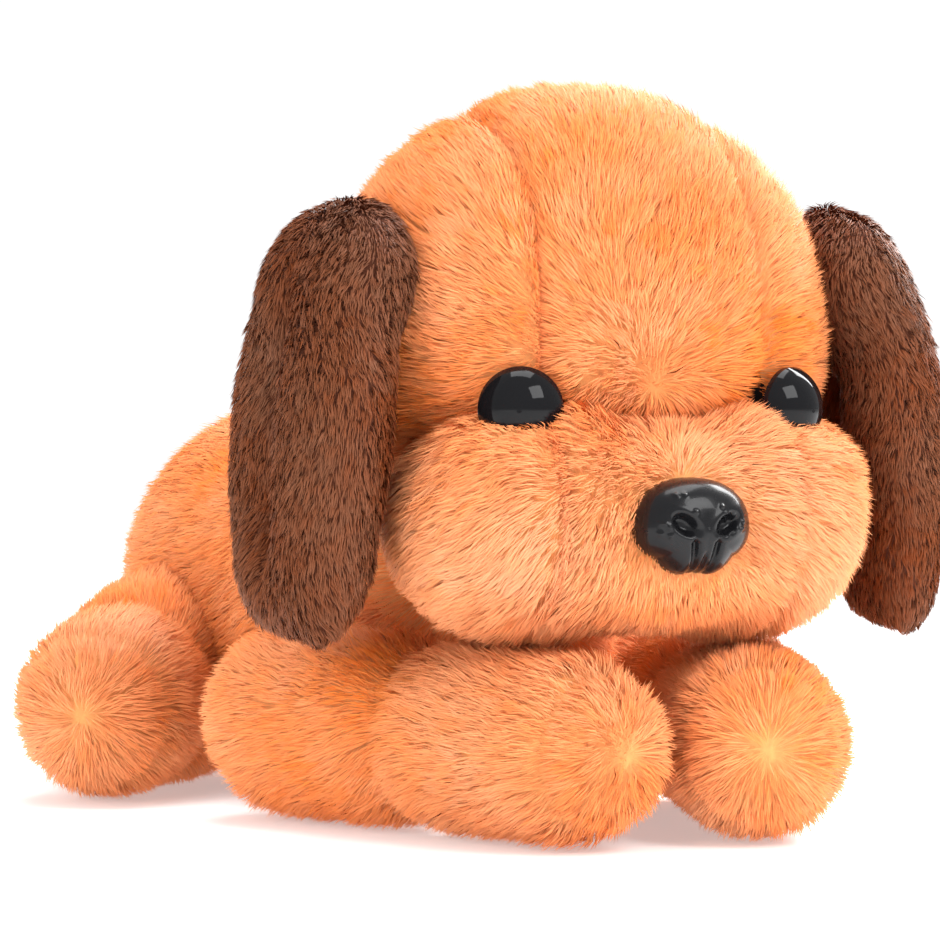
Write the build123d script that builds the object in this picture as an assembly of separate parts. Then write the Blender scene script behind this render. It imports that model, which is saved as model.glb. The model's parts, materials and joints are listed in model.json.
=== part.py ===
from build123d import *

import math
import os

# A plush puppy lying on its belly with its chin on its front paws, in millimetres.
# It faces -Y, +Z is up, +X is the dog's own left, and the floor is Z = 0.
# Every covering panel is a thin shell that runs from the cloth to the middle of the pile.
# Every stuffed part is a soft fibre core inside its covers.
# Lengths along the body are measured from STATION_ZERO, just behind the middle of the head.

# ---- driving dimensions -------------------------------------------------------------
COVER = 3.0                # cloth backing plus half of the pile
FILL_GAP = 0.15            # play between a cover and its stuffing
JOINT_GAP = 0.6            # play between two parts that move on each other
TAIL_GAP = 1.6             # the same at the tail, which swings further

HEAD_CENTRE = (0, -16, 110)
HEAD_RADII = (59, 51, 55)
GUSSET_HALF_WIDTH = 24     # forehead panel between the two head seams

MUZZLE_CENTRE = (0, -42, 71.5)
MUZZLE_RADII = (52, 36, 28)
CHIN_CENTRE = (0, -48, 60)
CHIN_RADII = (38, 32, 16.5)
CHEEK_SEAM_X = 26          # seams between the muzzle's middle and its cheeks
CHIN_SEAM_Z = 62           # seam between the muzzle's middle and the chin

NECK_CENTRE = (0, 28, 84)
NECK_RADIUS = 28

EYE_SEAT = (31, -58.5, 92)   # where the dog's left eye meets the head
EYE_AIM = (0.44, -0.89, -0.04)
EYE_RADIUS = 9.0           # an 18 mm safety eye
EYE_HEIGHT = 6.8
EYE_RIM = 1.2
SHANK_RADIUS = 2.4
SHANK_LENGTH = 15
WASHER_RADIUS = 8.0
WASHER_THICKNESS = 2.0
WASHER_DEPTH = 6.5         # from the back of the eye or nose to its washer

NOSE_SEAT = (0, -75.5, 67.5)
NOSE_AIM = (0, -1, 0.10)
NOSE_RADII = (12.6, 10.4, 8.6)   # a 25 mm safety nose: half width, half height, depth
NOSTRIL_X = 4.6
NOSTRIL_Z = 1.2
NOSTRIL_RADIUS = 2.4

EAR_CENTRE = (70, -30, 91)
EAR_RADII = (10, 25, 48)
EAR_TURN = 18              # degrees that the ear faces forward
EAR_LEAN = 4               # degrees that its tip hangs away from the neck
EAR_LINING = 3.0           # thickness of each of the ear's two plush layers

TORSO_FRONT = (0, 76, 45)
TORSO_FRONT_RADIUS = 48
TORSO_REAR = (0, 148, 47)
TORSO_REAR_RADIUS = 49
BELLY_SEAM_Z = 24          # the belly panel ends here on each side

SHOULDER = (50, 22, 22.9)
SHOULDER_RADIUS = 22.5
PAW = (23.6, -64, 21.2)
PAW_RADIUS = 20.8

HIP = (44, 128, 27.4)
HIP_RADIUS = 27
FOOT = (77, 82, 22.4)
FOOT_RADIUS = 22

SOLE_INSET = 8             # from the middle of the paw's end ball to the sole seam

TAIL_ROOT = (0, 196, 52)
TAIL_ROOT_RADIUS = 11
TAIL_TIP = (0, 226, 70)
TAIL_TIP_RADIUS = 9

# The nose tip and the tail tip are the two ends, and the frame's origin lies halfway.
NOSE_TILT = math.atan(NOSE_AIM[2])
NOSE_REACH = math.hypot(NOSE_RADII[2] * math.cos(NOSE_TILT), NOSE_RADII[1] * math.sin(NOSE_TILT))
NOSE_END = NOSE_SEAT[1] - NOSE_REACH
TAIL_END = TAIL_TIP[1] + TAIL_TIP_RADIUS
STATION_ZERO = -(NOSE_END + TAIL_END) / 2

BIG = 400                  # larger than the whole toy, for cutting boxes


# ---- shapes -------------------------------------------------------------------------
def mirrored(point, side):
    """The point on the dog's left (side 1) or right (side -1)."""
    return (side * point[0], point[1], point[2])


def ellipsoid(centre, radii, grow=0.0):
    sized = tuple(r + grow for r in radii)
    return Pos(*centre) * scale(Sphere(1), by=sized)


def ball(centre, radius):
    return Pos(*centre) * Sphere(radius)


def aimed(origin, direction):
    """A location at origin whose local Z points along direction and whose local X is level."""
    forward = Vector(*direction)
    return Plane(origin=origin, x_dir=Vector(0, 0, 1).cross(forward), z_dir=forward).location


def between(start, end):
    return Vector(*end) - Vector(*start)


def limb(start, start_radius, end, end_radius, grow=0.0):
    """Two balls joined by the cone that touches both, as one solid of revolution."""
    length = between(start, end).length
    tilt = math.asin((start_radius - end_radius) / length)
    big = start_radius + grow
    small = end_radius + grow
    big_touch = (big * math.cos(tilt), big * math.sin(tilt))
    small_touch = (small * math.cos(tilt), length + small * math.sin(tilt))
    tilt_deg = math.degrees(tilt)
    outline = (
        CenterArc((0, 0), big, -90, 90 + tilt_deg)
        + Line(big_touch, small_touch)
        + CenterArc((0, length), small, tilt_deg, 90 - tilt_deg)
        + Line((0, length + small), (0, -big))
    )
    profile = make_face(Plane.XZ * outline)
    return aimed(start, between(start, end)) * revolve(profile, Axis.Z)


def above(height):
    """Everything higher than the given height."""
    return Pos(0, 0, height + BIG / 2) * Box(BIG * 2, BIG * 2, BIG)


def beyond_x(x):
    """Everything further to the dog's left than x."""
    return Pos(x + BIG / 2, 0, 0) * Box(BIG, BIG * 2, BIG * 2)


def middle_slab(half_width):
    """Everything within half_width of the plane that divides the dog in two."""
    return Box(half_width * 2, BIG * 2, BIG * 2)


def beyond(origin, direction):
    """Everything past a plane through origin, square to direction."""
    return aimed(origin, direction) * Pos(0, 0, BIG / 2) * Box(BIG, BIG, BIG)


# ---- the whole outer forms, which neighbours are cut to clear ----------------------------
def head_form(grow=0.0):
    return ellipsoid(HEAD_CENTRE, HEAD_RADII, grow)


def muzzle_form(grow=0.0):
    return ellipsoid(MUZZLE_CENTRE, MUZZLE_RADII, grow) + ellipsoid(CHIN_CENTRE, CHIN_RADII, grow)


def neck_clearance():
    return ball(NECK_CENTRE, NECK_RADIUS + JOINT_GAP)


def torso_form(grow=0.0):
    body = limb(TORSO_FRONT, TORSO_FRONT_RADIUS, TORSO_REAR, TORSO_REAR_RADIUS, grow)
    return body & above(-grow)


def joint_seats():
    """The hollows in the torso in which the neck, the limbs and the tail sit."""
    seats = neck_clearance()
    for side in (1, -1):
        seats += ball(mirrored(SHOULDER, side), SHOULDER_RADIUS + JOINT_GAP)
        seats += ball(mirrored(HIP, side), HIP_RADIUS + JOINT_GAP)
        seats += limb(mirrored(HIP, side), HIP_RADIUS, mirrored(FOOT, side), FOOT_RADIUS, JOINT_GAP)
    seats += ball(TAIL_ROOT, TAIL_ROOT_RADIUS + TAIL_GAP)
    return seats


# ---- hard plastic pieces -----------------------------------------------------------------
def shank(location, radius=SHANK_RADIUS, length=SHANK_LENGTH):
    """The stem behind an eye or the nose, running back from its seat."""
    return location * Pos(0, 0, -length / 2) * Cylinder(radius, length)


def eye_location(side):
    return aimed(mirrored(EYE_SEAT, side), mirrored(EYE_AIM, side))


def eye(side):
    """A domed button on a stem."""
    sphere_radius = (EYE_RADIUS**2 + (EYE_HEIGHT - EYE_RIM) ** 2) / (2 * (EYE_HEIGHT - EYE_RIM))
    dome = Pos(0, 0, EYE_HEIGHT - sphere_radius) * Sphere(sphere_radius)
    blank = Pos(0, 0, EYE_HEIGHT / 2) * Cylinder(EYE_RADIUS, EYE_HEIGHT)
    return eye_location(side) * (dome & blank) + shank(eye_location(side))


def nose_location():
    return aimed(NOSE_SEAT, NOSE_AIM)


def nose():
    """A wide dome with two nostrils, on a stem."""
    dome = scale(Sphere(1), by=(NOSE_RADII[0], NOSE_RADII[1], NOSE_RADII[2]))
    dome = dome & (Pos(0, 0, BIG / 2) * Box(BIG, BIG, BIG))
    for side in (1, -1):
        dome -= Pos(side * NOSTRIL_X, NOSTRIL_Z, NOSE_RADII[2] - 0.4) * Sphere(NOSTRIL_RADIUS)
    return nose_location() * dome + shank(nose_location())


def washer(location):
    """The lock washer that is pushed onto a stem from inside the cloth."""
    disc = Cylinder(WASHER_RADIUS, WASHER_THICKNESS) - Cylinder(SHANK_RADIUS, WASHER_THICKNESS * 2)
    return location * Pos(0, 0, -WASHER_DEPTH) * disc


def fitting_room(location, radius):
    """The space that an eye or the nose, its stem and its washer take out of the soft parts."""
    room = location * Pos(0, 0, 5) * Cylinder(radius + 0.2, 10)
    room += shank(location, SHANK_RADIUS + 0.1, SHANK_LENGTH + 0.2)
    washer_space = Cylinder(WASHER_RADIUS + 0.2, WASHER_THICKNESS + 0.3)
    return room + location * Pos(0, 0, -WASHER_DEPTH) * washer_space


def face_room():
    room = fitting_room(nose_location(), NOSE_RADII[0])
    for side in (1, -1):
        room += fitting_room(eye_location(side), EYE_RADIUS)
    return room


# ---- soft parts --------------------------------------------------------------------------
def head_parts():
    """Two head sides and the forehead gusset over one fibre core."""
    room = neck_clearance() + face_room()
    cover = head_form() - head_form(-COVER) - room
    left = cover & beyond_x(GUSSET_HALF_WIDTH)
    right = cover - beyond_x(-GUSSET_HALF_WIDTH)
    gusset = cover & middle_slab(GUSSET_HALF_WIDTH)
    return {
        "head_side_left": left,
        "head_side_right": right,
        "forehead_gusset": gusset,
        "head_stuffing": head_form(-COVER - FILL_GAP) - room,
    }


def muzzle_parts():
    """Two cheeks, the bridge under the nose and the chin over one fibre core."""
    room = head_form(FILL_GAP) + face_room() + neck_clearance()
    cover = muzzle_form() - muzzle_form(-COVER) - room
    left = cover & beyond_x(CHEEK_SEAM_X)
    right = cover - beyond_x(-CHEEK_SEAM_X)
    middle = cover & middle_slab(CHEEK_SEAM_X)
    return {
        "muzzle_cheek_left": left,
        "muzzle_cheek_right": right,
        "muzzle_bridge": middle & above(CHIN_SEAM_Z),
        "chin_panel": middle - above(CHIN_SEAM_Z),
        "muzzle_stuffing": muzzle_form(-COVER - FILL_GAP) - room,
    }


def ear_parts(side):
    """Two layers of plush sewn around their edge, hanging at the side of the head."""
    name = "left" if side > 0 else "right"
    turned = Pos(*mirrored(EAR_CENTRE, side)) * Rot(0, -side * EAR_LEAN, -side * EAR_TURN)
    flap = turned * scale(Sphere(1), by=EAR_RADII)
    hollow = turned * scale(Sphere(1), by=tuple(r - EAR_LINING for r in EAR_RADII))
    flap = flap - head_form(JOINT_GAP) - muzzle_form(JOINT_GAP)
    outward = turned * Pos(side * BIG / 2, 0, 0) * Box(BIG, BIG, BIG)
    layers = flap - hollow
    return {
        f"ear_{name}_outer": layers & outward,
        f"ear_{name}_inner": layers - outward,
    }


def torso_parts():
    """Two back panels and the belly panel over one fibre core."""
    seats = joint_seats() + head_form(JOINT_GAP)
    cover = torso_form() - torso_form(-COVER) - seats
    back = cover & above(BELLY_SEAM_Z)
    return {
        "back_panel_left": back & beyond_x(0),
        "back_panel_right": back - beyond_x(0),
        "belly_panel": cover - above(BELLY_SEAM_Z),
        "torso_stuffing": torso_form(-COVER - FILL_GAP) - seats,
    }


def limb_parts(name, side, root, root_radius, tip, tip_radius):
    """An outer and an inner cover, a round sole and a fibre core."""
    start = mirrored(root, side)
    end = mirrored(tip, side)
    along = between(start, end).normalized()
    outward = Vector(along.Y, -along.X, 0).normalized()
    if outward.X * side < 0:
        outward = -outward
    sole_centre = Vector(*end) + along * SOLE_INSET
    cover = limb(start, root_radius, end, tip_radius) - limb(start, root_radius, end, tip_radius, -COVER)
    sole = cover & beyond(sole_centre, along)
    sleeve = cover - beyond(sole_centre, along)
    outer_half = beyond(start, outward)
    return {
        f"{name}_outer": sleeve & outer_half,
        f"{name}_inner": sleeve - outer_half,
        f"{name}_sole": sole,
        f"{name}_stuffing": limb(start, root_radius, end, tip_radius, -COVER - FILL_GAP),
    }


def tail_parts():
    """A short stuffed tail."""
    sizes = (TAIL_ROOT, TAIL_ROOT_RADIUS, TAIL_TIP, TAIL_TIP_RADIUS)
    return {
        "tail_cover": limb(*sizes) - limb(*sizes, -COVER),
        "tail_stuffing": limb(*sizes, -COVER - FILL_GAP),
    }


def all_parts():
    parts = {}
    parts.update(torso_parts())
    parts.update(head_parts())
    parts.update(muzzle_parts())
    parts["neck_stuffing"] = ball(NECK_CENTRE, NECK_RADIUS)
    parts["nose"] = nose()
    parts["nose_washer"] = washer(nose_location())
    for side, name in ((1, "left"), (-1, "right")):
        parts[f"eye_{name}"] = eye(side)
        parts[f"eye_{name}_washer"] = washer(eye_location(side))
        parts.update(ear_parts(side))
        parts.update(limb_parts(f"foreleg_{name}", side, SHOULDER, SHOULDER_RADIUS, PAW, PAW_RADIUS))
        parts.update(limb_parts(f"hind_leg_{name}", side, HIP, HIP_RADIUS, FOOT, FOOT_RADIUS))
    parts.update(tail_parts())
    return parts


os.makedirs("parts", exist_ok=True)
for node, shape in all_parts().items():
    export_step(Pos(0, STATION_ZERO, 0) * shape, f"parts/{node}.step")
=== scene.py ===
import json
import math

import bpy
import numpy as np
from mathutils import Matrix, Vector


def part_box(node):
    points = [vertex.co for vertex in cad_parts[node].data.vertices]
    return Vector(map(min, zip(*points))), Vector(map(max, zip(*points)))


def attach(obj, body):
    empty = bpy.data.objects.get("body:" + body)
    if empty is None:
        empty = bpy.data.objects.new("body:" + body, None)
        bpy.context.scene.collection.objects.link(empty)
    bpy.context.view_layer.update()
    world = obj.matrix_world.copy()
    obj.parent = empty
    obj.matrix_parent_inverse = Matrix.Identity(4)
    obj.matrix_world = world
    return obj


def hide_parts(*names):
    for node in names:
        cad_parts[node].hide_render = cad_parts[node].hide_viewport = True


# The looks of a lying plush puppy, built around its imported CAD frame.
# Shapes are worked out in millimetres along the dog's own stations, as in the CAD model,
# and become metres in the row frame when a mesh is made. The dog faces -Y, +X is its left.

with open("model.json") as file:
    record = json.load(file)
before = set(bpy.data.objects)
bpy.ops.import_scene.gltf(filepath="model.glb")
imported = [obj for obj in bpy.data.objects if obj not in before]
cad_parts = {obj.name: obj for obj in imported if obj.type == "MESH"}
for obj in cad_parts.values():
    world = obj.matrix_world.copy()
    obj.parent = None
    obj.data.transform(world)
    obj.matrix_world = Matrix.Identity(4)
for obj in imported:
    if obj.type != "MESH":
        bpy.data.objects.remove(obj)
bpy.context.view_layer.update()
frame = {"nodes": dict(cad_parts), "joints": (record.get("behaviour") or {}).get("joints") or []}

# ---- driving dimensions, millimetres ------------------------------------------------
MM = 0.001
SKIN_INSET = 4.0           # the cloth lies this far under the CAD surface, which is mid-pile
SKIN_STEP = 2.4            # grid step of the cloth meshes
STITCH = 3.0               # how far from a seam the pile is parted

HEAD_RADII = np.array([59.0, 51.0, 55.0])
MUZZLE_OFFSET = np.array([0.0, -26.0, -38.5])      # from the middle of the head
MUZZLE_RADII = np.array([52.0, 36.0, 28.0])
CHIN_OFFSET = np.array([0.0, -32.0, -50.0])
CHIN_RADII = np.array([38.0, 32.0, 16.5])
PUFF_OFFSET = np.array([24.0, 0.0, -2.5])          # a puffed cheek, from the middle of the muzzle
PUFF_RADII = np.array([26.0, 32.5, 24.5])
WHORL_OFFSET = np.array([0.0, -49.0, -17.0])       # the parting between the brows
NOSE_WHORL = np.array([0.0, 0.0, 9.0])             # above the nose, where the muzzle's pile begins
NECK_STATION = 28.0        # the neck's station behind the frame's zero station
NECK_RADIUS = 28.0

GUSSET_SEAM_X = 24.0       # the seams each side of the forehead gusset
CHEEK_SEAM_X = 26.0        # the seams between the muzzle's bridge and its cheeks
CHIN_SEAM_Z = 62.0
BELLY_SEAM_Z = 24.0
BURIED_SEAM = 1.5          # the muzzle's seams part the pile less than the forehead's
SOLE_INSET = 8.0           # from the middle of a paw's end ball to its sole seam

TORSO_FRONT_RADIUS = 48.0
TORSO_FRONT_HEIGHT = 45.0  # of the middle of the torso's front ball
TORSO_REAR_RADIUS = 49.0
TORSO_REAR_HEIGHT = 47.0
TORSO_FLOOR_GAP = 1.5      # the belly lies flat, this far over the floor

EAR_FOLD = 3.0             # where the fold runs down an ear, behind its middle
EAR_TUCK = 3.0             # how far an ear hangs inside its flat pattern
EAR_LEAN_IN = 6.0          # how much further its top leans in against the head
EAR_YAW = 18.0             # degrees that the front edge turns in, round the head
EAR_ROLL = 4.0             # degrees that the tip swings out

NOSE_DEPTH = 8.6
NOSE_HEM = 2.0             # the nose's rim goes this far back into the pile
NOSE_RINGS = 60
NOSE_STEPS = 240
PIMPLES = 19

# Places beside the head's middle where the stuffing bulges at an eye: under it, round it, and
# between it and the bridge. Each has how far it is stretched, its height and its width.
EYE_BULGES = [
    ([33.0, -43.5, -30.5], [1.5, 1.0, 0.7], 3.2, 9),
    ([31.0, -39.0, -18.0], [1.0, 1.0, 1.0], 3.0, 13),
    ([18.0, -47.0, -20.5], [0.8, 1.0, 1.2], 3.0, 8),
]

# Each kind of leg: radius at the body, radius at the paw, where the paw begins as a share of
# the leg, and the offset of its random stream.
LEGS = [
    ("foreleg", 22.5, 20.8, 0.50, 20),
    ("hind_leg", 27.0, 22.0, 0.62, 30),
]

CAMERA_AZIMUTH = -22.5     # degrees from straight ahead of the dog; negative is on its right
CAMERA_ELEVATION = 0.9
CAMERA_DISTANCE = 0.95     # metres
CAMERA_LENS = 166
CAMERA_TARGET = np.array([-22.4, -10.0, 78.6])     # y is counted from the zero station

SEED = 20260


# ---- the frame ----------------------------------------------------------------------
JOINTS = {joint["name"]: joint for joint in frame["joints"]}


def pivot(joint_name):
    """A joint's place, in mm."""
    return np.array(JOINTS[joint_name]["pos_m"]) / MM


STATION_ZERO = pivot("head_turn")[1] - NECK_STATION


def span(*nodes):
    """Lowest and highest corner of the box round some CAD nodes, in mm."""
    corners = np.array([[list(c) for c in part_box(node)] for node in nodes]) / MM
    return corners[:, 0].min(axis=0), corners[:, 1].max(axis=0)


def middle_of(*nodes):
    """The middle of that box."""
    low, high = span(*nodes)
    return (low + high) / 2


HEAD = middle_of("forehead_gusset")
MUZZLE = HEAD + MUZZLE_OFFSET
CHIN = HEAD + CHIN_OFFSET
NECK = pivot("head_turn")
WHORL = HEAD + WHORL_OFFSET


# ---- distance fields: negative inside -----------------------------------------------
def ellipsoid(p, centre, radii):
    """About the distance from the surface of an ellipsoid."""
    q = p - centre
    scaled = np.linalg.norm(q / radii, axis=1)
    slope = np.linalg.norm(q / radii**2, axis=1)
    return scaled * (scaled - 1) / np.maximum(slope, 1e-9)


def limb(p, start, start_radius, end, end_radius):
    """Two balls and the cone between them."""
    axis = end - start
    length = np.linalg.norm(axis)
    axis = axis / length
    along = (p - start) @ axis
    side = np.sqrt(np.maximum(((p - start) ** 2).sum(axis=1) - along**2, 0))
    tilt = (start_radius - end_radius) / length
    slope = math.sqrt(1 - tilt * tilt)
    turned = along * slope - side * tilt
    near_start = np.sqrt(side**2 + along**2) - start_radius
    near_end = np.sqrt(side**2 + (along - length) ** 2) - end_radius
    between = side * slope + along * tilt - start_radius
    return np.where(turned < 0, near_start, np.where(turned > length * slope, near_end, between))


def joined(a, b, blend):
    """The two fields run together over about the blend's width."""
    mix = np.clip(0.5 + 0.5 * (b - a) / blend, 0, 1)
    return b * (1 - mix) + a * mix - blend * mix * (1 - mix)


def dent(distance, depth, width):
    """As deep as depth where the distance is 0, and fading out over the width."""
    return depth * np.exp(-((distance / width) ** 2))


def gradient(field, p):
    """The unit direction in which the field grows, which is the outward normal."""
    step = 0.2
    moves = np.eye(3) * step
    slope = np.stack([field(p + m) - field(p - m) for m in moves], axis=1)
    return slope / np.maximum(np.linalg.norm(slope, axis=1, keepdims=True), 1e-9)


# ---- mesh making --------------------------------------------------------------------
def to_row(points):
    """The dog's millimetres as the row frame's metres."""
    return np.asarray(points) * MM


def make_mesh(name, points, corners, counts):
    """A smooth mesh object from flat arrays: the faces' corners and how many each face has."""
    mesh = bpy.data.meshes.new(name)
    mesh.vertices.add(len(points))
    mesh.vertices.foreach_set("co", np.asarray(points, dtype=np.float32).ravel())
    mesh.loops.add(len(corners))
    mesh.loops.foreach_set("vertex_index", np.asarray(corners, dtype=np.int32))
    mesh.polygons.add(len(counts))
    starts = np.concatenate([[0], np.cumsum(counts)[:-1]])
    mesh.polygons.foreach_set("loop_start", starts.astype(np.int32))
    mesh.polygons.foreach_set("use_smooth", np.full(len(counts), True))
    mesh.update(calc_edges=True)
    mesh.validate()
    piece = bpy.data.objects.new(name, mesh)
    bpy.context.scene.collection.objects.link(piece)
    return piece


def skin_surface(field, low, high, step):
    """Points and quads of the field's zero surface: one point in each grid cell that it crosses."""
    axes = [np.arange(low[k] - 2 * step, high[k] + 3 * step, step) for k in range(3)]
    grid = np.stack(np.meshgrid(*axes, indexing="ij"), axis=-1)
    inside = (field(grid.reshape(-1, 3)) < 0).reshape(grid.shape[:3])
    cells = np.zeros([n - 1 for n in inside.shape], dtype=int)
    for i in (0, 1):
        for j in (0, 1):
            for k in (0, 1):
                cells += inside[i:i + cells.shape[0], j:j + cells.shape[1], k:k + cells.shape[2]]
    crossed = (cells > 0) & (cells < 8)
    index = np.full(cells.shape, -1)
    index[crossed] = np.arange(crossed.sum())
    points = grid[:-1, :-1, :-1][crossed] + step / 2
    for _ in range(5):
        points = points - field(points)[:, None] * gradient(field, points)
    quads = []
    for axis in range(3):
        first = np.take(inside, range(inside.shape[axis] - 1), axis=axis)
        second = np.take(inside, range(1, inside.shape[axis]), axis=axis)
        for leaving in (True, False):
            edge = (first & ~second) if leaving else (~first & second)
            at = np.argwhere(edge)
            one = np.eye(3, dtype=int)[(axis + 1) % 3]
            two = np.eye(3, dtype=int)[(axis + 2) % 3]
            ring = [at - one - two, at - two, at, at - one]
            if not leaving:
                ring.reverse()
            quads.append(np.stack([index[tuple(r.T)] for r in ring], axis=1))
    return points, np.concatenate(quads)


def cloth_body(name, field, low, high):
    """The closed cloth skin of a stuffed part, and its surface for the pile to grow on."""
    points, quads = skin_surface(field, low, high, SKIN_STEP)
    piece = make_mesh(name, to_row(points), quads.ravel(), np.full(len(quads), 4))
    return piece, points, quads


# ---- pile ---------------------------------------------------------------------------
def scatter(points, quads, density, rng):
    """Random places on the surface, density of them on each square millimetre."""
    triangles = np.concatenate([quads[:, [0, 1, 2]], quads[:, [0, 2, 3]]])
    a, b, c = (points[triangles[:, k]] for k in range(3))
    areas = np.linalg.norm(np.cross(b - a, c - a), axis=1) / 2
    count = int(areas.sum() * density)
    chosen = rng.choice(len(triangles), size=count, p=areas / areas.sum())
    u = rng.random((count, 1))
    v = rng.random((count, 1))
    over = (u + v) > 1
    u = np.where(over, 1 - u, u)
    v = np.where(over, 1 - v, v)
    return a[chosen] + u * (b - a)[chosen] + v * (c - a)[chosen]


def rotation(degrees, first, second):
    """The matrix that turns axis number first towards axis number second."""
    angle = math.radians(degrees)
    matrix = np.eye(3)
    matrix[first, first] = math.cos(angle)
    matrix[second, second] = math.cos(angle)
    matrix[first, second] = -math.sin(angle)
    matrix[second, first] = math.sin(angle)
    return matrix


def unit(v):
    """Each row brought to length 1."""
    return v / np.maximum(np.linalg.norm(v, axis=1, keepdims=True), 1e-9)


def waves(p, size, rng):
    """A smooth field of about -1 to 1 that changes over the given length."""
    total = np.zeros(len(p))
    for _ in range(6):
        direction = rng.normal(size=3)
        direction = direction / np.linalg.norm(direction)
        pitch = rng.uniform(0.6, 1.4)
        phase = rng.uniform(0, 6.28)
        total += np.sin(p @ direction * (2 * math.pi / size) * pitch + phase)
    return total / 3


def turned(tangent, normal, angle):
    """The tangent turned about the normal, by an angle for each."""
    side = np.cross(normal, tangent)
    return tangent * np.cos(angle)[:, None] + side * np.sin(angle)[:, None]


class Pile:
    """How one cloth's pile is cut and combed.

    length, width and tuft are millimetres, lean is radians from the cloth's normal, and density
    is strands on a square millimetre. The other settings are functions of places: comb gives
    the way that the pile runs, seam the distance from the nearest seam, trim the share of the
    length that is kept, and pale 1 where the pile is palest.
    """

    def __init__(self, length, lean, density, comb, width=0.25, tuft=3.0, gather=0.22,
                 seam=None, trim=None, pale=None):
        self.length = length
        self.lean = lean
        self.density = density
        self.comb = comb
        self.width = width
        self.tuft = tuft
        self.gather = gather
        self.seam = seam
        self.trim = trim
        self.pale = pale


def tufts(roots, size, rng):
    """Which tuft each root belongs to: cells of a warped grid."""
    warp = 0.7 * size
    warped = np.stack([roots[:, k] + warp * waves(roots, size * 4, rng) for k in range(3)], axis=1)
    cell = np.floor(warped / size).astype(np.int64)
    key = (cell[:, 0] * 73856093) ^ (cell[:, 1] * 19349663) ^ (cell[:, 2] * 83492791)
    return np.unique(key, return_inverse=True)[1]


def tuft_mean(values, tuft, count):
    """For each strand, the mean of the values in its tuft."""
    size = np.maximum(np.bincount(tuft, minlength=count), 1)
    total = np.stack([np.bincount(tuft, values[:, k], count) for k in range(3)], axis=1)
    return total[tuft] / size[tuft][:, None]


# How strands differ from each other: the standard deviation between tufts and between single
# strands, or the height and length of broad waves.
SWING_WAVES, SWING_SIZE = 0.35, 30.0       # radians and mm
SWING_TUFTS, SWING_STRANDS = 0.13, 0.16    # radians, about the normal
LEAN_TUFTS, LEAN_STRANDS = 0.07, 0.10      # radians, from the normal
LENGTH_TUFTS = 0.05
LENGTH_LOW, LENGTH_HIGH = 0.75, 1.10
TONE_TUFTS, TONE_STRANDS = 0.12, 0.16
PATCH_WAVES, PATCH_SIZE = 0.20, 36.0
PATCH_TUFTS = 0.08
TWIST = 0.6                                # radians, about the strand's own line

SEAM_LENGTH = 0.3          # share of its length that the pile keeps in a seam
LOWER_BEND = 0.72          # a strand's lower half leans less than the pile does
UPPER_BEND = 1.25          # and its upper half leans more
DROOP = 0.10               # the upper half also sinks a little
FLOOR_GAP = 0.3            # no strand goes lower than this over the floor
ROOT_DEPTH = 0.5           # the roots start this far under the cloth


def bent(normals, flow, lean):
    """The direction of strands that lean this far from the normals towards the flow."""
    return unit(normals * np.cos(lean)[:, None] + flow * np.sin(lean)[:, None])


def grow(points, quads, field, pile, rng):
    """The strands on a surface: roots, middles, tips, sides, normals, tones and patches."""
    roots = scatter(points, quads, pile.density, rng)
    total = len(roots)
    normals = gradient(field, roots)
    tuft = tufts(roots, pile.tuft, rng)
    count = tuft.max() + 1

    flow = pile.comb(roots)
    flow = unit(flow - (flow * normals).sum(axis=1, keepdims=True) * normals)
    swing = SWING_WAVES * waves(roots, SWING_SIZE, rng) + rng.normal(0, SWING_TUFTS, count)[tuft]
    swing = swing + rng.normal(0, SWING_STRANDS, total)
    flow = turned(flow, normals, swing)
    lean = pile.lean + rng.normal(0, LEAN_TUFTS, count)[tuft] + rng.normal(0, LEAN_STRANDS, total)
    length = pile.length * (1 + rng.normal(0, LENGTH_TUFTS, count)[tuft])
    length = length * rng.uniform(LENGTH_LOW, LENGTH_HIGH, total)
    if pile.seam is not None:
        parted = np.clip(np.abs(pile.seam(roots)) / STITCH, 0, 1)
        length = length * (SEAM_LENGTH + (1 - SEAM_LENGTH) * parted)
    if pile.trim is not None:
        length = length * pile.trim(roots)

    lower = bent(normals, flow, lean * LOWER_BEND)
    upper = unit(bent(normals, flow, lean * UPPER_BEND) + np.array([0, 0, -DROOP]))
    middles = roots + lower * (length * 0.5)[:, None]
    tips = middles + upper * (length * 0.5)[:, None]
    middles += (tuft_mean(middles, tuft, count) - middles) * pile.gather * 0.35
    tips += (tuft_mean(tips, tuft, count) - tips) * pile.gather
    middles[:, 2] = np.maximum(middles[:, 2], FLOOR_GAP)
    tips[:, 2] = np.maximum(tips[:, 2], FLOOR_GAP)

    tone = 0.5 + TONE_STRANDS * rng.normal(size=total) + TONE_TUFTS * rng.normal(size=count)[tuft]
    patch = 0.4 + PATCH_WAVES * waves(roots, PATCH_SIZE, rng)
    patch = patch + PATCH_TUFTS * rng.normal(size=count)[tuft]
    if pile.pale is not None:
        patch = patch + 0.2 * pile.pale(roots)
    reach = tips - roots
    side = turned(unit(np.cross(reach, normals)), unit(reach), rng.normal(0, TWIST, total))
    return (roots - normals * ROOT_DEPTH, middles, tips, side, normals,
            np.clip(tone, 0, 1), np.clip(patch, 0, 1))


# A strand's points are its root, the two sides of its middle, and its tip.
STRAND_CORNERS = np.array([0, 1, 3, 2])
ALONG_STRAND = np.array([0.0, 0.5, 0.5, 1.0])
STRAND_CELL = np.array([[0.5, 0.1], [0.7, 0.5], [0.3, 0.5], [0.5, 0.9]])
SURFACE_SHADING = 0.62     # how much of a strand's shading normal is the cloth's
ROUND_SHADING = 0.2        # how much it turns to each side


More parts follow.
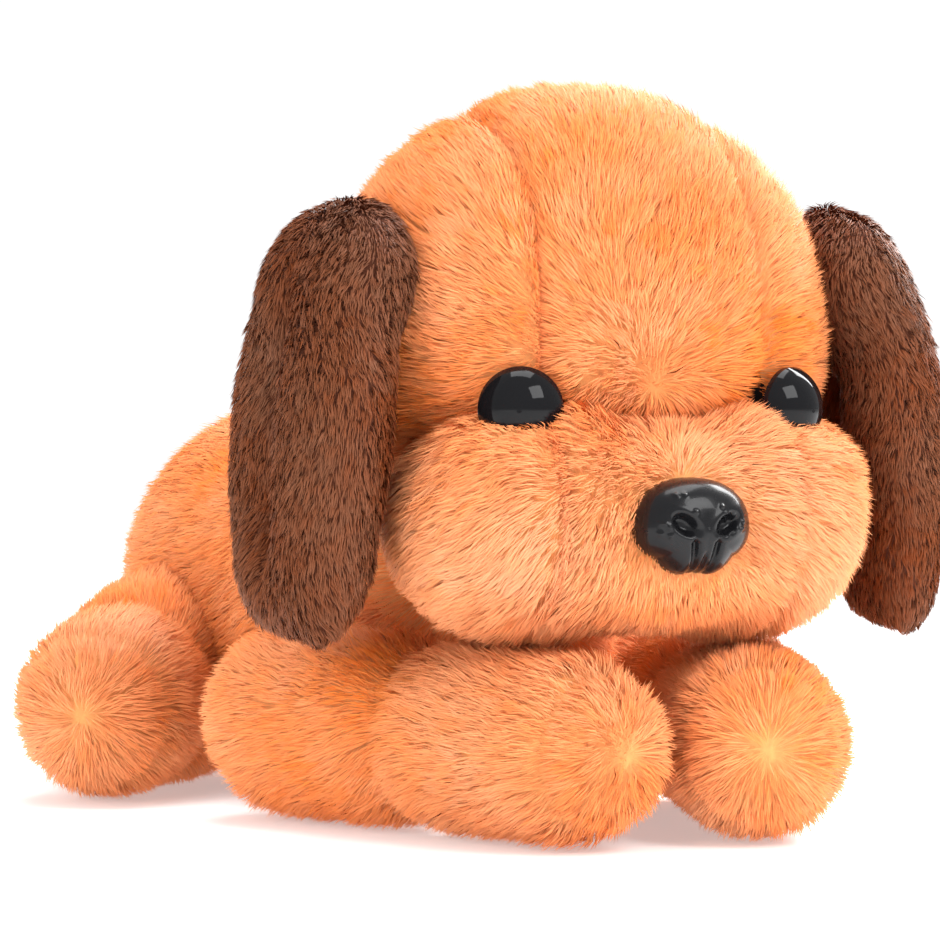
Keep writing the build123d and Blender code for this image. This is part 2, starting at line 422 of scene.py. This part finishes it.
def pile_piece(name, strands, width, material):
    """A mesh of thin flat strands, each a long four-point blade, that share one material.

    The strand colour holds the place along the strand, its tone and its patch.
    """
    roots, middles, tips, side, normals, tone, patch = strands
    count = len(roots)
    half = side * width / 2
    points = np.stack([roots, middles + half, middles - half, tips], axis=1)
    corners = np.arange(count)[:, None] * 4 + STRAND_CORNERS
    piece = make_mesh(name, to_row(points.reshape(-1, 3)), corners.ravel(), np.full(count, 4))
    mesh = piece.data
    colour = np.ones((count, 4, 4), dtype=np.float32)
    colour[:, :, 0] = ALONG_STRAND
    colour[:, :, 1] = tone[:, None]
    colour[:, :, 2] = patch[:, None]
    strand = mesh.attributes.new("strand", "FLOAT_COLOR", "POINT")
    strand.data.foreach_set("color", colour.ravel())
    add_strand_map(mesh, count)
    faces = unit(np.cross(side, tips - roots))
    outward = np.where((faces * normals).sum(axis=1, keepdims=True) < 0, -faces, faces)
    spread = np.zeros((count, 4, 3))
    spread[:, 1] = side * ROUND_SHADING
    spread[:, 2] = -side * ROUND_SHADING
    mixed = normals * SURFACE_SHADING + outward * (1 - SURFACE_SHADING)
    shading = unit((mixed[:, None] + spread).reshape(-1, 3))
    mesh.normals_split_custom_set_from_vertices(shading)
    mesh.materials.append(material)
    return piece


def add_strand_map(mesh, count):
    """A UV cell for each strand, so that its colours can be baked without unwrapping."""
    side = math.ceil(math.sqrt(count))
    column = np.arange(count) % side
    row = np.arange(count) // side
    cell = np.stack([column, row], axis=1)[:, None, :] + STRAND_CELL[None]
    per_corner = (cell / side)[:, STRAND_CORNERS, :]
    layer = mesh.uv_layers.new(name="OFBake")
    layer.data.foreach_set("uv", per_corner.astype(np.float32).ravel())


def select(strands, chosen):
    """Only the chosen strands, with all that is known of them."""
    return tuple(values[chosen] for values in strands)


# ---- materials ----------------------------------------------------------------------
def new_material(name):
    """A node material and its Principled shader."""
    material = bpy.data.materials.new(name)
    material.use_nodes = True
    return material, material.node_tree.nodes["Principled BSDF"]


def remapped(tree, source, low, high):
    """A socket that goes from low to high as the source goes from 0 to 1."""
    node = tree.nodes.new("ShaderNodeMapRange")
    node.inputs["To Min"].default_value = low
    node.inputs["To Max"].default_value = high
    tree.links.new(source, node.inputs["Value"])
    return node.outputs["Result"]


def object_noise(tree, scale):
    """A noise that is fixed to the object."""
    place = tree.nodes.new("ShaderNodeTexCoord")
    noise = tree.nodes.new("ShaderNodeTexNoise")
    noise.inputs["Scale"].default_value = scale
    tree.links.new(place.outputs["Object"], noise.inputs["Vector"])
    return noise


def colour_ramp(tree, source, first, last):
    """A ramp from the first colour to the last as the source goes from 0 to 1."""
    ramp = tree.nodes.new("ShaderNodeValToRGB")
    ramp.color_ramp.elements[0].color = (*first, 1)
    ramp.color_ramp.elements[1].color = (*last, 1)
    tree.links.new(source, ramp.inputs["Fac"])
    return ramp


def pile_material(name, root, middle, tip):
    """Plush pile: a colour that changes from root to tip, which is painted light and shade in the
    pile, a little different on each strand.

    A strand's tone changes its brightness, and its patch turns it yellower and paler.
    """
    material, shader = new_material(name)
    tree = material.node_tree
    strand = tree.nodes.new("ShaderNodeAttribute")
    strand.attribute_name = "strand"
    parts = tree.nodes.new("ShaderNodeSeparateColor")
    tree.links.new(strand.outputs["Color"], parts.inputs["Color"])
    ramp = colour_ramp(tree, parts.outputs["Red"], root, tip)
    ramp.color_ramp.elements.new(0.45).color = (*middle, 1)
    vary = tree.nodes.new("ShaderNodeHueSaturation")
    tree.links.new(ramp.outputs["Color"], vary.inputs["Color"])
    tree.links.new(remapped(tree, parts.outputs["Green"], 0.84, 1.12), vary.inputs["Value"])
    tree.links.new(remapped(tree, parts.outputs["Blue"], 0.495, 0.508), vary.inputs["Hue"])
    tree.links.new(remapped(tree, parts.outputs["Blue"], 1.06, 0.84), vary.inputs["Saturation"])
    tree.links.new(vary.outputs["Color"], shader.inputs["Base Color"])
    shader.inputs["Roughness"].default_value = 0.48
    shader.inputs["Specular IOR Level"].default_value = 0.12
    shader.inputs["Sheen Weight"].default_value = 0.05
    shader.inputs["Sheen Roughness"].default_value = 0.4
    shader.inputs["Sheen Tint"].default_value = (*tip, 1)
    return material


def cloth_material(name, colour):
    """The knitted backing under the pile, seen only where the pile parts."""
    material, shader = new_material(name)
    tree = material.node_tree
    knit = object_noise(tree, 700)
    knit.inputs["Detail"].default_value = 4
    ramp = colour_ramp(tree, knit.outputs["Fac"], [c * 0.6 for c in colour], colour)
    tree.links.new(ramp.outputs["Color"], shader.inputs["Base Color"])
    bump = tree.nodes.new("ShaderNodeBump")
    bump.inputs["Strength"].default_value = 0.4
    bump.inputs["Distance"].default_value = 0.0004
    tree.links.new(knit.outputs["Fac"], bump.inputs["Height"])
    tree.links.new(bump.outputs["Normal"], shader.inputs["Normal"])
    shader.inputs["Roughness"].default_value = 0.9
    return material


def plastic_material(name, roughness, coat):
    """Black moulded plastic with a faint grain in its gloss."""
    material, shader = new_material(name)
    tree = material.node_tree
    grain = object_noise(tree, 260)
    gloss = remapped(tree, grain.outputs["Fac"], roughness * 0.8, roughness * 1.25)
    tree.links.new(gloss, shader.inputs["Roughness"])
    shader.inputs["Base Color"].default_value = (0.006, 0.006, 0.007, 1)
    shader.inputs["Specular IOR Level"].default_value = 0.16
    shader.inputs["Coat Weight"].default_value = coat
    shader.inputs["Coat Roughness"].default_value = 0.03
    return material


# Painted light in the orange pile: its roots are painted lighter and yellower than the rest of the
# strand, to stand in for light that shines through the fibres into the deep pile.
ORANGE_PILE = pile_material("orange_pile", (0.95, 0.40, 0.13), (0.93, 0.30, 0.082),
                            (0.93, 0.275, 0.072))
# Painted shade and highlight in the brown pile: it is painted darker at the roots, where shade
# falls deep in the pile, and lighter at the tips, where light catches them.
BROWN_PILE = pile_material("brown_pile", (0.120, 0.029, 0.008), (0.170, 0.045, 0.014),
                           (0.27, 0.090, 0.038))
# The orange cloth has the roots' lighter colour: painted light that keeps the gaps in the pile from
# going dark.
ORANGE_CLOTH = cloth_material("orange_cloth", (0.95, 0.40, 0.13))
BROWN_CLOTH = cloth_material("brown_cloth", (0.14, 0.034, 0.011))
EYE_PLASTIC = plastic_material("eye_plastic", 0.06, 0.0)
WASHER_PLASTIC = plastic_material("washer_plastic", 0.4, 0.0)
NOSE_PLASTIC = plastic_material("nose_plastic", 0.26, 0.15)

# Cloth, pile and slot of the two plushes.
ORANGE_PLUSH = (ORANGE_CLOTH, ORANGE_PILE, "plush_orange")
BROWN_PLUSH = (BROWN_CLOTH, BROWN_PILE, "plush_brown")


# ---- parts --------------------------------------------------------------------------
def dress(name, body, field, low, high, pile, rng, plush, stands_for, panels):
    """A cloth body and its pile, one pile piece for each panel that the seams make.

    The cloth stands for the nodes in stands_for. panels is a list of (node, chooser), where the
    chooser says which roots lie on that panel; the first panel that wants a root gets it.
    """
    cloth, pile_look, slot = plush
    skin, points, quads = cloth_body(f"{name}_cloth", field, low, high)
    skin.data.materials.append(cloth)
    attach(skin, body)
    if stands_for:
        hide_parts(*stands_for)
    strands = grow(points, quads, field, pile, rng)
    left = np.ones(len(strands[0]), dtype=bool)
    for node, chooser in panels:
        chosen = left & chooser(strands[0])
        left &= ~chosen
        piece = pile_piece(f"{node}_pile", select(strands, chosen), pile.width, pile_look)
        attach(piece, body)
        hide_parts(node)


def everywhere(p):
    """Chooses every root that no other panel has taken."""
    return np.ones(len(p), dtype=bool)


def straight(direction):
    """Pile that runs the same way everywhere."""
    return lambda p: np.array(direction) + 0.0 * p


def skull_form(p):
    """The cloth of the skull, under its pile."""
    return ellipsoid(p, HEAD, HEAD_RADII - SKIN_INSET - 1.0)


def muzzle_form(p):
    """The muzzle: a puffed cheek each side of a bridge, and the chin below."""
    folded = np.stack([np.abs(p[:, 0]), p[:, 1], p[:, 2]], axis=1)
    cheeks = ellipsoid(folded, MUZZLE + PUFF_OFFSET, PUFF_RADII)
    bridge = ellipsoid(p, MUZZLE, MUZZLE_RADII - SKIN_INSET - np.array([8.0, 0.0, 2.0]))
    chin = ellipsoid(p, CHIN, CHIN_RADII - SKIN_INSET)
    return joined(joined(cheeks, bridge, 5), chin, 3)


def head_field(p):
    """Skull and muzzle, creased where they meet, with a hollow between the brows."""
    skull, muzzle = skull_form(p), muzzle_form(p)
    whole = joined(skull, muzzle, 1.5)
    crease = dent(skull - muzzle, depth=2.6, width=5.5)
    hollow = dent(np.linalg.norm(p - WHORL, axis=1), depth=2.2, width=10)
    stitched = dent(head_seam(p), depth=2.4, width=3.0)
    return whole + crease + hollow + stitched - eye_bulges(p)


def eye_bulges(p):
    """The stuffing bulges round each eye and hides the eye's edge."""
    bulge = np.zeros(len(p))
    for side in (1, -1):
        for place, stretch, height, width in EYE_BULGES:
            centre = HEAD + np.array(place) * np.array([side, 1, 1])
            away = np.linalg.norm((p - centre) / np.array(stretch), axis=1)
            bulge += dent(away, height, width)
    return bulge


def head_comb(p):
    """The skull's pile runs back from the brows, and the muzzle's runs out from the nose."""
    from_brow = unit(p - WHORL)
    from_nose = unit(p - middle_of("nose") - NOSE_WHORL)
    sagging = from_nose + np.array([0, 0, -0.15])
    share = muzzle_share(p)[:, None]
    return from_brow * (1 - share) + sagging * share


def muzzle_share(p):
    """0 on the skull, 1 on the muzzle, and between the two in the crease."""
    return np.clip(0.5 + (skull_form(p) - muzzle_form(p)) / 8, 0, 1)


def head_seam(p):
    """Distance from the nearest of the head's seams."""
    gusset = np.abs(np.abs(p[:, 0]) - GUSSET_SEAM_X)
    cheek = np.abs(np.abs(p[:, 0]) - CHEEK_SEAM_X) + BURIED_SEAM
    on_skull = skull_form(p) < muzzle_form(p)
    return np.where(on_skull, gusset, cheek)


def face_trim(p):
    """Shorter pile round the eyes and the nose, and in the crease behind the muzzle."""
    trim = 0.55 + 0.45 * np.clip(np.abs(skull_form(p) - muzzle_form(p)) / 7, 0, 1)
    for node, reach in (("eye_left", 13), ("eye_right", 13), ("nose", 18)):
        near = np.linalg.norm(p - span_front(node), axis=1)
        trim *= 0.42 + 0.58 * np.clip((near - reach * 0.55) / (reach * 0.45), 0, 1)
    return trim


def span_front(node):
    """The middle of a face piece's visible front."""
    low, high = span(node)
    front = (low + high) / 2
    front[1] = low[1] + 5
    return front


def build_head(rng):
    """The head with its muzzle and chin, sewn from seven panels."""
    low = np.minimum(HEAD - HEAD_RADII, CHIN - CHIN_RADII - 5)
    high = HEAD + HEAD_RADII
    pile = Pile(length=6.4, lean=0.95, density=3.9, comb=head_comb, seam=head_seam,
                trim=face_trim, pale=muzzle_share)

    def on_muzzle(p):
        return skull_form(p) > muzzle_form(p)

    panels = [
        ("muzzle_cheek_left", lambda p: on_muzzle(p) & (p[:, 0] > CHEEK_SEAM_X)),
        ("muzzle_cheek_right", lambda p: on_muzzle(p) & (p[:, 0] < -CHEEK_SEAM_X)),
        ("chin_panel", lambda p: on_muzzle(p) & (p[:, 2] < CHIN_SEAM_Z)),
        ("muzzle_bridge", on_muzzle),
        ("head_side_left", lambda p: p[:, 0] > GUSSET_SEAM_X),
        ("head_side_right", lambda p: p[:, 0] < -GUSSET_SEAM_X),
        ("forehead_gusset", everywhere),
    ]
    dress("head", "head", head_field, low, high, pile, rng, ORANGE_PLUSH,
          ["head_stuffing", "muzzle_stuffing"], panels)


def build_leg(name, joint, root_radius, tip_radius, crease, rng):
    """A leg: a tapered roll with a soft crease where the paw begins."""
    root = pivot(joint)
    low, high = span(f"{name}_outer", f"{name}_inner", f"{name}_sole")
    sole_low, sole_high = span(f"{name}_sole")
    side = 1 if root[0] > 0 else -1
    tip = np.array([0.0, low[1] + tip_radius, tip_radius + 0.4])
    tip[0] = (sole_low[0] + sole_high[0]) / 2
    if name.startswith("hind"):
        tip[0] = side * (max(abs(low[0]), abs(high[0])) - tip_radius)
    reach = np.linalg.norm(tip - root)
    axis = (tip - root) / reach
    outward = np.array([axis[1], -axis[0], 0.0])
    outward = outward * np.sign(outward[0] * side)

    def field(p):
        along = (p - root) @ axis
        roll = limb(p, root, root_radius - SKIN_INSET, tip, tip_radius - SKIN_INSET)
        fold = dent(along - crease * reach, depth=3.0, width=6)
        stitched = dent(along - reach - SOLE_INSET, depth=0.9, width=2.2)
        return roll + fold + stitched

    def comb(p):
        """Up the leg, and a little away from the middle of the paw."""
        return 0.35 * unit(p - tip) - axis

    def seam(p):
        return (p - tip) @ axis - SOLE_INSET

    def paw_share(p):
        return np.clip(((p - root) @ axis - crease * reach) / 15, 0, 1) * 0.6

    pile = Pile(length=6.6, lean=0.92, density=3.3, comb=comb, seam=seam, pale=paw_share)
    panels = [
        (f"{name}_sole", lambda p: (p - tip) @ axis > SOLE_INSET),
        (f"{name}_outer", lambda p: (p - root) @ outward > 0),
        (f"{name}_inner", everywhere),
    ]
    dress(name, name, field, low, high, pile, rng, ORANGE_PLUSH, [f"{name}_stuffing"], panels)


def build_torso(rng):
    """The body: a long roll that lies flat on the floor, seamed down the middle of the back."""
    low, high = span("back_panel_left", "back_panel_right", "belly_panel")
    front = np.array([0, NECK[1] + TORSO_FRONT_RADIUS, TORSO_FRONT_HEIGHT])
    rear = np.array([0, high[1] - TORSO_REAR_RADIUS, TORSO_REAR_HEIGHT])

    def field(p):
        roll = limb(p, front, TORSO_FRONT_RADIUS - SKIN_INSET, rear, TORSO_REAR_RADIUS - SKIN_INSET)
        return np.maximum(roll, TORSO_FLOOR_GAP - p[:, 2])

    pile = Pile(length=7.5, lean=1.0, density=2.2, comb=straight([0, 1.0, -0.35]),
                seam=lambda p: p[:, 0])
    panels = [
        ("belly_panel", lambda p: p[:, 2] < BELLY_SEAM_Z),
        ("back_panel_left", lambda p: p[:, 0] > 0),
        ("back_panel_right", everywhere),
    ]
    dress("torso", "torso", field, low, high, pile, rng, ORANGE_PLUSH, ["torso_stuffing"], panels)


def build_neck(rng):
    """The neck: a ball under the head on a broader base that sinks into the body."""
    low = NECK - np.array([40.0, 32.0, 50.0])
    high = NECK + np.array([40.0, 54.0, 32.0])

    def field(p):
        nape = ellipsoid(p, NECK, np.full(3, NECK_RADIUS))
        base = ellipsoid(p, NECK + np.array([0, 14.0, -20.0]), np.array([36.0, 36.0, 27.0]))
        return joined(nape, base, 12)

    pile = Pile(length=8.0, lean=0.9, density=1.0, comb=straight([0, 1.0, 0.2]))
    dress("neck", "neck", field, low, high, pile, rng, ORANGE_PLUSH, [],
          [("neck_stuffing", everywhere)])


def build_tail(rng):
    """The tail: a short tapered roll."""
    root = pivot("tail_wag")
    low, high = span("tail_cover")
    tip = np.array([0, high[1] - 9, high[2] - 9])

    def field(p):
        return limb(p, root, 8.0, tip, 6.0)

    pile = Pile(length=8.0, lean=0.9, density=1.6, comb=straight(tip - root))
    dress("tail", "tail", field, low, high, pile, rng, ORANGE_PLUSH, ["tail_stuffing"],
          [("tail_cover", everywhere)])


def build_ear(name, side, rng):
    """A floppy ear: a broad front lobe and a narrower rear lobe with a fold between them."""
    low, high = span(f"{name}_outer", f"{name}_inner")
    centre = (low + high) / 2
    inward = np.array([EAR_TUCK + EAR_LEAN_IN, 0.0, 0.0])
    basis = rotation(-side * EAR_ROLL, 2, 0) @ rotation(-side * EAR_YAW, 0, 1)

    def local(p):
        """The ear's own place for a point, with the top of the ear drawn in against the head."""
        q = (p - centre) @ basis * np.array([side, 1, 1])
        lean_in = EAR_TUCK + EAR_LEAN_IN * np.clip((q[:, 2] + 5) / 50, 0, 1) ** 2
        return q + lean_in[:, None] * np.array([1.0, 0, 0])

    def field(p):
        q = local(p)
        front = ellipsoid(q, np.array([2.5, -11.0, -2.0]), np.array([9.5, 13.5, 44.5]))
        rear = ellipsoid(q, np.array([-3.0, 12.5, -2.0]), np.array([5.8, 13.5, 42.0]))
        top = ellipsoid(q, np.array([-2.0, -0.5, 27.0]), np.array([10.5, 20.0, 18.5]))
        end = ellipsoid(q, np.array([0.0, -1.0, -30.5]), np.array([7.5, 17.5, 15.0]))
        lobes = joined(joined(joined(front, rear, 1.5), top, 4.0), end, 4.0)
        fold_ends = np.clip((36.0 - np.abs(q[:, 2] + 1)) / 16.0, 0, 1)
        return lobes + fold_ends * dent(q[:, 1] - EAR_FOLD, depth=5.5, width=4.0)

    def comb(p):
        """Down, and away from the fold on both sides of it."""
        q = local(p)
        away = np.where(q[:, 1] > EAR_FOLD, 0.25, -0.2)
        return np.array([0, 0, -1.0]) + away[:, None] * np.array([0, 1.0, 0])

    def fold(p):
        """Distance from the fold, which is only on the outer face and stops short of the ends."""
        q = local(p)
        aside = 10.0 * ((q[:, 0] < 0) | (np.abs(q[:, 2]) > 34))
        return np.abs(q[:, 1] - EAR_FOLD) + aside

    pile = Pile(length=4.2, lean=1.05, density=5.2, comb=comb, tuft=2.2, gather=0.3, seam=fold)
    panels = [
        (f"{name}_outer", lambda p: local(p)[:, 0] > 0),
        (f"{name}_inner", everywhere),
    ]
    dress(name, name, field, low - inward, high + inward, pile, rng, BROWN_PLUSH, [], panels)


def rounded(wave):
    """A cosine or sine that is a little fuller, for an outline squarer than an ellipse."""
    return np.sign(wave) * np.abs(wave) ** 0.9


def nose_outline(half_width, half_height):
    """Places on the nose seen from the front, as rings round its middle: across and up."""
    rho = np.linspace(0, 1, NOSE_RINGS + 1)[1:][:, None]
    theta = np.linspace(0, 2 * math.pi, NOSE_STEPS, endpoint=False)[None]
    lower = np.clip(-np.sin(theta), 0, 1)
    scallop = 1 - 0.11 * lower * (1 - np.abs(np.cos(theta * 3.5 + math.pi * 0.25)))
    narrow = 1 - 0.20 * lower**1.5
    across = rounded(np.cos(theta)) * half_width * narrow * scallop * rho
    up = rounded(np.sin(theta)) * half_height * scallop * rho
    dome = np.sqrt(np.clip(1 - rho**2.6, 0, 1)) * NOSE_DEPTH * np.ones_like(theta)
    return across, up, dome


def cut_nostrils(dome, across, up):
    """Two slanting nostrils with soft rims, the grooves beside them and the split below."""
    for side in (1, -1):
        beside = across - side * 4.8
        away = np.hypot(beside / 1.25, up - 0.8 - side * 0.35 * beside)
        dome = dome - 2.4 * np.exp(-((away / 1.9) ** 4)) + dent(away - 3.2, depth=0.2, width=0.9)
        wing = np.abs(across - side * (2.6 + 0.12 * (up + 3))) + np.clip(up + 3.0, 0, 9)
        dome = dome - dent(wing, depth=1.5, width=0.8)
    return dome - dent(across, depth=0.8, width=0.5) * np.clip(-(up + 4.5) / 2, 0, 1)


def add_pimples(dome, across, up, half_width, half_height, rng):
    """Small pimples scattered over the upper part of the nose."""
    for _ in range(PIMPLES):
        angle = rng.uniform(-0.35, math.pi + 0.35)
        place = rng.uniform(0.35, 0.86)
        x = math.cos(angle) * half_width * place
        z = math.sin(angle) * half_height * place
        dome = dome + dent(np.hypot(across - x, up - z), depth=0.5, width=0.5)
    return dome


def nose_faces():
    """Corners and counts of the faces: rings, the front's middle, the hem and the back.

    The points are the rings, the front's middle point, the hem's ring and the back's middle.
    """
    ring = np.arange(NOSE_STEPS)
    after = (ring + 1) % NOSE_STEPS
    front = NOSE_RINGS * NOSE_STEPS
    hem = front + 1
    back = hem + NOSE_STEPS
    quads = []
    for row in range(NOSE_RINGS - 1):
        start = row * NOSE_STEPS
        end = start + NOSE_STEPS
        quads.append(np.stack([start + ring, start + after, end + after, end + ring], axis=1))
    outer = front - NOSE_STEPS
    quads.append(np.stack([outer + ring, outer + after, hem + after, hem + ring], axis=1))
    triangles = [
        np.stack([np.full(NOSE_STEPS, front), after, ring], axis=1),
        np.stack([np.full(NOSE_STEPS, back), hem + ring, hem + after], axis=1),
    ]
    corners = np.concatenate([faces.ravel() for faces in quads + triangles])
    counts = [4] * (NOSE_RINGS * NOSE_STEPS) + [3] * (2 * NOSE_STEPS)
    return corners, np.array(counts)


def build_nose(rng):
    """The moulded nose: a wide dome with a scalloped lower edge, nostrils, grooves and pimples."""
    low, high = span("nose")
    centre = (low + high) / 2
    half_width = (high[0] - low[0]) / 2
    half_height = (high[2] - low[2]) / 2
    across, up, dome = nose_outline(half_width, half_height)
    dome = cut_nostrils(dome, across, up)
    dome = add_pimples(dome, across, up, half_width, half_height, rng)
    points = np.stack([across, -dome, up], axis=-1).reshape(-1, 3)
    front = np.array([[0.0, -NOSE_DEPTH, 0.0]])
    hem = points[-NOSE_STEPS:] + np.array([0, NOSE_HEM, 0])
    back = np.array([[0.0, NOSE_HEM, 0.0]])
    seat = np.array([centre[0], low[1] + NOSE_DEPTH, centre[2]])
    corners, counts = nose_faces()
    everything = np.concatenate([points, front, hem, back]) + seat
    piece = make_mesh("nose_moulding", to_row(everything), corners, counts)
    piece.data.materials.append(NOSE_PLASTIC)
    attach(piece, "head")
    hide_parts("nose")


def finish_fittings():
    """The eyes and all three washers keep their CAD shape and get their plastic."""
    looks = {"eye_left": EYE_PLASTIC, "eye_right": EYE_PLASTIC}
    for node in ("eye_left_washer", "eye_right_washer", "nose_washer"):
        looks[node] = WASHER_PLASTIC
    for node, look in looks.items():
        for slot in frame["nodes"][node].material_slots:
            slot.material = look


# ---- stage --------------------------------------------------------------------------
def build_floor():
    """A broad white floor that glows a little, so that it stays white under the dog."""
    size = 6.0
    edges = [(-size, -size, 0), (size, -size, 0), (size, size, 0), (-size, size, 0)]
    floor = make_mesh("floor", edges, [0, 1, 2, 3], [4])
    material, shader = new_material("floor_white")
    shader.inputs["Base Color"].default_value = (0.93, 0.93, 0.93, 1)
    shader.inputs["Roughness"].default_value = 0.8
    shader.inputs["Emission Color"].default_value = (1, 1, 1, 1)
    shader.inputs["Emission Strength"].default_value = 0.35
    floor.data.materials.append(material)


def area_light(name, place, aim, size, power):
    """A white square lamp; place, aim and size are metres and power is watts."""
    data = bpy.data.lights.new(name, "AREA")
    data.shape = "SQUARE"
    data.size = size
    data.energy = power
    light = bpy.data.objects.new(name, data)
    light.location = place
    light.rotation_mode = "QUATERNION"
    light.rotation_quaternion = (Vector(aim) - Vector(place)).to_track_quat("-Z", "Y")
    bpy.context.scene.collection.objects.link(light)
    return light


def light_stage():
    """A white studio: the world lights the dog less than it shows behind it."""
    world = bpy.data.worlds.new("studio")
    world.use_nodes = True
    tree = world.node_tree
    backdrop = tree.nodes["Background"]
    backdrop.inputs["Color"].default_value = (1, 1, 1, 1)
    path = tree.nodes.new("ShaderNodeLightPath")
    level = remapped(tree, path.outputs["Is Camera Ray"], 0.72, 1.05)
    tree.links.new(level, backdrop.inputs["Strength"])
    bpy.context.scene.world = world
    middle = (0, -0.05, 0.07)
    area_light("key", (0.35, -1.15, 0.95), middle, 0.7, 13)
    area_light("rim", (0.8, 0.35, 0.8), middle, 0.6, 22)
    fill = area_light("fill", (-1.0, -0.8, 0.35), middle, 0.8, 7)
    fill.visible_glossy = False
    area_light("top", (0.1, 0.1, 1.3), middle, 0.8, 12)
    bpy.context.scene.view_settings.view_transform = "Standard"


def place_camera():
    """A long lens just above the floor, ahead of the dog and on its right."""
    azimuth = math.radians(CAMERA_AZIMUTH)
    elevation = math.radians(CAMERA_ELEVATION)
    level = math.cos(elevation)
    back = Vector((math.sin(azimuth) * level, -math.cos(azimuth) * level, math.sin(elevation)))
    target = Vector(CAMERA_TARGET + np.array([0, STATION_ZERO, 0])) * MM
    data = bpy.data.cameras.new("camera")
    data.lens = CAMERA_LENS
    data.sensor_width = 36
    data.clip_start = 0.01
    camera = bpy.data.objects.new("camera", data)
    camera.location = target + back * CAMERA_DISTANCE
    camera.rotation_mode = "QUATERNION"
    camera.rotation_quaternion = (-back).to_track_quat("-Z", "Y")
    bpy.context.scene.collection.objects.link(camera)
    bpy.context.scene.camera = camera


def stream(offset):
    """Each part draws from its own random numbers, so that none disturbs another."""
    return np.random.default_rng(SEED + offset)


place_camera()
light_stage()
build_floor()
build_torso(stream(0))
build_neck(stream(1))
build_head(stream(2))
build_tail(stream(3))
for index, (word, side) in enumerate((("left", 1), ("right", -1))):
    build_ear(f"ear_{word}", side, stream(10 + index))
    for kind, root_radius, tip_radius, crease, offset in LEGS:
        name = f"{kind}_{word}"
        build_leg(name, f"{name}_spread", root_radius, tip_radius, crease, stream(offset + index))
build_nose(stream(9))
finish_fittings()
